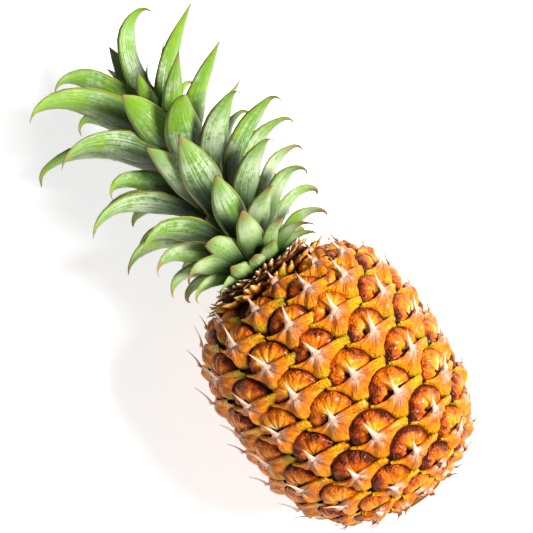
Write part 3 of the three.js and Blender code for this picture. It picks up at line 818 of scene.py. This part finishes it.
def fruit_skin():
    """The rind under the eyes: the outline turned round the axis, sunk in the creases, and the stem dish."""
    arc = np.linspace(BASE_ARC, TOP_ARC, 110)
    turn = full_turn(160)
    height = np.zeros((len(arc), len(turn)))
    for eye_arc, size, eye_turn in zip(EYE_ARC, EYE_SIZE, EYE_TURN):
        rows = np.abs(arc - eye_arc) < 20 * size
        away = turn[None] - eye_turn
        x = np.arctan2(np.sin(away), np.cos(away)) * FRUIT_RADIUS
        y = (arc[rows, None] - eye_arc) / size
        near = 3.2 * (1 - np.clip(np.hypot(x / 16, np.minimum(y, 0) / 14), 0, 1) ** 1.6) * (y < 1)
        height[rows] = np.maximum(height[rows], near * size)
    # nothing is sunk at the two ends, where the rind meets the dish and the neck
    sink = np.minimum(1, np.minimum(arc - BASE_ARC, TOP_ARC - arc) / 3)[:, None]
    body = on_fruit(turn[None], arc[:, None], (height - RIM_HEIGHT - 0.6) * sink)
    dish_middle = plant_point(DISH_ALONG, 0.0, turn)
    dish_ring = plant_point(DISH_ALONG, STEM_DISH_RADIUS - 2, turn)
    top_middle = plant_point(NECK_ALONG, 0.0, turn)
    points = np.concatenate([dish_middle[None], dish_ring[None], body, top_middle[None]])
    faces = grid_faces(1, len(points), len(turn), round_columns=True, flip=True)
    return make_mesh("fruit_skin", points, faces)


# The crown


def heart_out(along):
    """The radius of the crown's short stem, a straight cone."""
    share = (along - CROWN_BASE) / (CROWN_STEM_LENGTH + LEAF_SUNK)
    return HEART_RADIUS * (1 - HEART_TAPER * np.clip(share, 0, 1))


def spiral_leaves():
    """Rows like SHOWN_LEAVES for the leaves underneath, on a golden-angle spiral from neck to heart."""
    i = np.arange(SPIRAL_LEAVES)
    t = i / (SPIRAL_LEAVES - 1)
    row_place = np.linspace(0, 1, len(CHORD_LENGTHS))

    def vary(c, share):
        """A random factor near 1."""
        return 1 + share * (2 * chance(i, c) - 1)

    turn = CROWN_PHASE + GOLDEN_ANGLE * i
    start = CROWN_BASE + CROWN_STEM_LENGTH * t**CROWN_CROWDING
    chord = np.interp(t, row_place, CHORD_LENGTHS) * vary(5, 0.12)
    lean = np.radians(np.interp(t, row_place, CHORD_DEGREES) * vary(6, 0.12))
    most = MOST_DOWN / np.maximum(0.3, -np.cos(turn))
    rows = np.stack(
        [
            start,
            np.degrees(turn),
            np.interp(t, row_place, START_DEGREES),
            start + chord * np.cos(lean),
            np.minimum(most, heart_out(start) - LEAF_SUNK + chord * np.sin(lean)),
            np.interp(t, row_place, END_DEGREES) * vary(7, 0.1),
            np.interp(t, row_place, HALF_WIDTHS) * vary(8, 0.07),
        ],
        axis=-1,
    )
    return rows[np.cos(turn) < UNDERSIDE]


def leaf_ribs(rows, fine):
    """Cubic curves with set end directions, then a small hook wound in over the last eighth of each."""
    start, first, tip_along, tip_out, last = rows[:, [0, 2, 3, 4, 5]].T[:, :, None]
    first, last = np.radians(first), np.radians(last)
    root = np.stack([start, heart_out(start) - LEAF_SUNK])
    tip = np.stack([tip_along, tip_out])
    handle = RIB_HANDLE * np.hypot(*(tip - root))
    one = root + handle * np.stack([np.cos(first), np.sin(first)])
    two = tip - handle * np.stack([np.cos(last), np.sin(last)])
    u = fine[None]
    slope = 3 * (1 - u) ** 2 * (one - root) + 6 * (1 - u) * u * (two - one) + 3 * u**2 * (tip - two)
    rightward = np.sin(np.radians(rows[:, 1])) > 0.6
    least = np.where(rightward, 1.1, 0.25)
    curl = least + np.where(rightward, 1.0, 0.9) * chance(np.arange(len(rows)), 50) ** 2
    hook = (curl * (rows[:, 5] > 75))[:, None] * smooth((u - 0.88) / 0.12)
    angle = np.arctan2(slope[1], slope[0]) + hook
    run = np.hypot(*slope) / (len(fine) - 1)
    steps = np.stack([np.cos(angle) * run, np.sin(angle) * run])
    path = root + np.concatenate([np.zeros((2, len(rows), 1)), np.cumsum(steps[:, :, :-1], axis=2)], axis=2)
    return path[0], path[1], angle


def crown_leaves():
    """A channelled lens section carried along each rib, its half width 1 - u^2.9, narrowed at the root."""
    rows = np.concatenate([SHOWN_LEAVES, spiral_leaves()])
    i = np.arange(len(rows))[:, None, None]
    fine = np.linspace(0, 1, 121)
    shares = np.concatenate([np.linspace(0, 0.8, 13), np.linspace(0.84, 1, 9)])
    stations = np.round(shares * 120).astype(int)
    along, out, angle = (values[:, stations, None] for values in leaf_ribs(rows, fine))
    u = fine[stations][None, :, None]
    turn = np.radians(rows[:, 1])[:, None, None]
    wide = np.concatenate([np.linspace(-1, 1, 9), np.linspace(1, -1, 9)[1:-1]])[None, None, :]
    lower = np.concatenate([np.zeros(9), np.ones(7)])[None, None, :]
    share = (1 - u**2.9) * (0.66 + 0.34 * smooth(u / 0.45))
    half = LEAF_FULLNESS * rows[:, 6][:, None, None] * share
    ripple = 0.35 * np.sin(u * 17 + phase(i, 51)) * np.abs(wide) ** 3 * wide
    channel = half * (0.34 - 0.08 * u) * np.abs(wide) ** 1.5 + ripple * np.minimum(1, half / 6)
    thick = (1.2 * (1 - 0.5 * u) * (1 - 0.75 * wide**2) + 0.12) * np.minimum(1, half / 2.5)
    rise = channel + np.where(lower > 0, -thick / 2, thick / 2) * (1 - np.abs(wide) ** 6)
    roll = (-LEAF_ROLL * np.sin(turn) * smooth(u / 0.4))[..., None]
    side = plant_vector(0.0, 1.0, turn + math.pi / 2)
    inward = plant_vector(np.sin(angle), -np.cos(angle), turn)
    across = side * np.cos(roll) + inward * np.sin(roll)
    face = inward * np.cos(roll) - side * np.sin(roll)
    centre = plant_point(along, out, turn)
    points = centre + MM * ((half * wide)[..., None] * across + rise[..., None] * face)
    points[..., 2] = np.maximum(points[..., 2], LEAF_CLEARANCE * MM)
    ones = np.ones(points.shape[:3])
    age = (rows[:, 0] - CROWN_BASE) / CROWN_STEM_LENGTH
    attributes = {
        "from_root": u * ones,
        "across": wide * ones,
        "underside": lower * ones,
        "age": age[:, None, None] * ones,
        "own": chance(i, 52) * ones,
    }
    faces = grid_faces(len(rows), len(stations), wide.size, round_columns=True)
    return make_mesh("crown_leaves", points, faces, attributes)


def crown_heart():
    """The crown's short stem: straight cone from the neck to the innermost leaves."""
    top = CROWN_BASE + CROWN_STEM_LENGTH
    along = np.array([NECK_ALONG + GAP, NECK_ALONG + GAP, CROWN_BASE, top, top + 2])
    out = np.array([0.0, HEART_RADIUS - 1.5, HEART_RADIUS - 0.5, HEART_RADIUS * (1 - HEART_TAPER), 0.0])
    points = plant_point(along[:, None], out[:, None], full_turn(32)[None])
    return make_mesh("crown_heart", points, grid_faces(1, len(out), 32, round_columns=True, flip=True))


def dry_blades(along, out, turn, first, last, long, half):
    """Small pointed blades, one per row: each an arc from its first direction to its last, folded in a V."""
    u = np.array([0, 0.14, 0.3, 0.46, 0.62, 0.78, 0.9, 1.0])[None, :, None]
    wide = np.array([-1, -0.5, 0, 0.5, 1, 0.5, 0, -0.5])[None, None, :]
    lower = np.array([0, 0, 0, 0, 0, 1, 1, 1])[None, None, :]
    columns = (along, out, turn, first, last, long, half)
    along, out, turn, first, last, long, half = (column[:, None, None] for column in columns)
    middle = first + (last - first) * u / 2
    steps = np.diff(u, axis=1, prepend=0) * long
    along = along + np.cumsum(steps * np.cos(middle), axis=1)
    out = out + np.cumsum(steps * np.sin(middle), axis=1)
    width = half * (1 - u) * (1 + 0.5 * u) + 0.05
    angle = first + (last - first) * u
    fold = 0.6 * width * np.abs(wide) - 0.3 * lower
    centre = plant_point(along, out, turn)
    side = plant_vector(0.0, 1.0, turn + math.pi / 2)
    inward = plant_vector(np.sin(angle), -np.cos(angle), turn)
    points = centre + MM * ((width * wide)[..., None] * side + fold[..., None] * inward)
    points[..., 2] = np.maximum(points[..., 2], LEAF_CLEARANCE * MM)
    faces = grid_faces(len(points), u.size, wide.size, round_columns=True)
    return points, faces, {"from_root": u * np.ones(points.shape[:3])}


def neck_bracts():
    """Short dry blades on a golden-angle spiral between the leaves and the fruit, on a low round collar."""
    i = np.arange(NECK_BRACTS)
    along = np.full(NECK_BRACTS, NECK_ALONG + GAP + 0.6)
    out = 18.0 + 7.0 * (i + 0.5) / NECK_BRACTS
    long = 4.0 + 4.0 * chance(i, 61)
    first = np.radians(18 + 40 * i / NECK_BRACTS + 20 * chance(i, 62))
    last = first + np.radians(85 * chance(i, 63) - 15)
    half = 1.7 + 1.3 * chance(i, 64)
    points, blades, attributes = dry_blades(along, out, i * GOLDEN_ANGLE, first, last, long, half)
    profile = np.array([[0, 16.9], [0, 25.5], [1.3, 25.0], [1.8, 18.5], [1.3, 16.9], [0, 16.9]])
    ring = plant_point(NECK_ALONG + GAP + profile[:, :1], profile[:, 1:], full_turn(48)[None])
    ring_faces = grid_faces(1, len(profile), 48, round_columns=True, flip=True) + points.size // 3
    points = np.concatenate([points.reshape(-1, 3), ring.reshape(-1, 3)])
    attributes["from_root"] = np.concatenate([attributes["from_root"].ravel(), np.zeros(ring.size // 3)])
    return make_mesh("neck_bracts_dry", points, np.concatenate([blades, ring_faces]), attributes)


def shoulder_bracts():
    """Dry blades on the fruit's shoulder, in a golden-angle spiral from the last eyes in to the neck."""
    i = np.arange(SHOULDER_BRACTS)
    turn = i * GOLDEN_ANGLE + 0.4
    radius = 26.2 + 5.2 * (i + 0.5) / SHOULDER_BRACTS
    arc = np.interp(-radius, -OUT[ARC > 0], ARC[ARC > 0])
    along, out, normal_along, normal_out = outline_at(arc)
    along = along - 4.2 * normal_along
    out = out - 4.2 * normal_out
    long = 5.0 + 4.5 * chance(i, 71)
    first = np.radians(34 + 22 * chance(i, 72))
    last = first + np.radians(90 * chance(i, 73) - 25)
    half = 2.4 + 2.0 * chance(i, 74)
    return make_mesh("shoulder_bracts", *dry_blades(along, out, turn, first, last, long, half))


def cut_stem():
    """The stem stub: a round disc whose cut face is ribbed by rings and rays."""
    turn = full_turn(72)
    radii = np.array([0.0, 2, 4, 6, 8, 9.6, 10.6, 11.0, 11.2, 11.4, 0.0])[:, None]
    from_end = np.array([0, 0, 0, 0, 0, 0.05, 0.4, 0.9, 2.4, 4.2, 4.2])[:, None]
    along = DISH_ALONG - GAP - 4.2 + from_end
    ribs = 0.18 * np.sin(23 * turn)[None] * np.clip(radii / 6, 0, 1) + 0.12 * np.cos(radii * 2.6)
    on_face = (np.arange(len(radii)) < 6)[:, None]
    points = plant_point(along + np.where(on_face, ribs + 0.25, 0), radii, turn[None])
    faces = grid_faces(1, len(radii), len(turn), round_columns=True, flip=True)
    return make_mesh("cut_stem_end", points, faces)


def studio():
    """An opal table, a soft key light from the picture's right, a faint low fill and low even light."""
    size = FLOOR_HALF_SIDE
    corners = np.array([[-size, -size, 0], [size, -size, 0], [size, size, 0], [-size, size, 0]])
    floor = make_mesh("floor", corners, np.array([[0, 1, 2, 3]]))
    floor.data.materials.append(opal_table())
    world = bpy.data.worlds.new("studio")
    bpy.context.scene.world = world
    world.use_nodes = True
    world.node_tree.nodes["Background"].inputs["Color"].default_value = (1, 1, 1, 1)
    world.node_tree.nodes["Background"].inputs["Strength"].default_value = EVEN_LIGHT
    bpy.context.scene.view_settings.view_transform = "Standard"
    for name, place, power, wide in LIGHTS:
        light = bpy.data.lights.new(name, "AREA")
        light.energy = power
        light.size = wide
        lamp = bpy.data.objects.new(name, light)
        bpy.context.scene.collection.objects.link(lamp)
        lamp.location = place
        aim = Vector(LIGHTS_AIM) - lamp.location
        lamp.rotation_euler = aim.to_track_quat("-Z", "Y").to_euler()


def photo_camera():
    """Above the fruit, leaning towards the crown, turned so that the crown points up and to the left."""
    body = Vector((AXIS * MM).tolist())
    place = body + Vector((math.sin(CAMERA_LEAN), 0, math.cos(CAMERA_LEAN))) * CAMERA_DISTANCE
    look = (body - place).normalized()
    crownward = (Vector((1, 0, 0)) - look * look.x).normalized()
    sideways = look.cross(crownward).normalized()
    most, less = CROWN_TURN
    right = sideways * most - crownward * less
    up = sideways * less + crownward * most
    # the middle of the picture is up and to the left of the body's middle
    across = (PICTURE_WIDTH / 2 - BODY_SHOWS_AT[0]) * PIXEL
    above = (BODY_SHOWS_AT[1] - PICTURE_WIDTH / 2) * PIXEL
    aim = look * CAMERA_DISTANCE + right * across + up * above
    look = aim.normalized()
    right = (right - look * right.dot(look)).normalized()
    up = right.cross(look)
    camera = bpy.data.cameras.new("photo_camera")
    eye = bpy.data.objects.new("photo_camera", camera)
    bpy.context.scene.collection.objects.link(eye)
    turn = Matrix((right, up, -look)).transposed().to_4x4()
    turn.translation = place
    eye.matrix_world = turn
    camera.sensor_width = SENSOR_WIDTH
    camera.lens = SENSOR_WIDTH * aim.length / (PICTURE_WIDTH * PIXEL)
    camera.clip_end = 20
    bpy.context.scene.camera = eye


photo_camera()
studio()
leaf = pineapple_leaf()
bract = dry_bract()
for piece, material, slot, nodes in (
    (eye_domes(), eye_dome_rind(), "fruit_rind", ["fruit"]),
    (eye_bracts(), eye_bract_rind(), "fruit_rind", ["fruit"]),
    (eye_spines(), papery_spine(), "fruit_rind", ["fruit"]),
    (fruit_skin(), eye_crease_rind(), "fruit_rind", ["fruit"]),
    (crown_leaves(), leaf, "crown_leaf", ["crown"]),
    (crown_heart(), leaf, "crown_leaf", ["crown"]),
    (neck_bracts(), bract, "dry_bract", ["neck_bracts"]),
    (shoulder_bracts(), shoulder_bract_rind(), "fruit_rind", ["fruit"]),
    (cut_stem(), cut_stem_fibre(), "cut_stem_fibre", ["cut_stem"]),
):
    piece.data.materials.append(material)
    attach(piece, "root")
    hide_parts(*nodes)
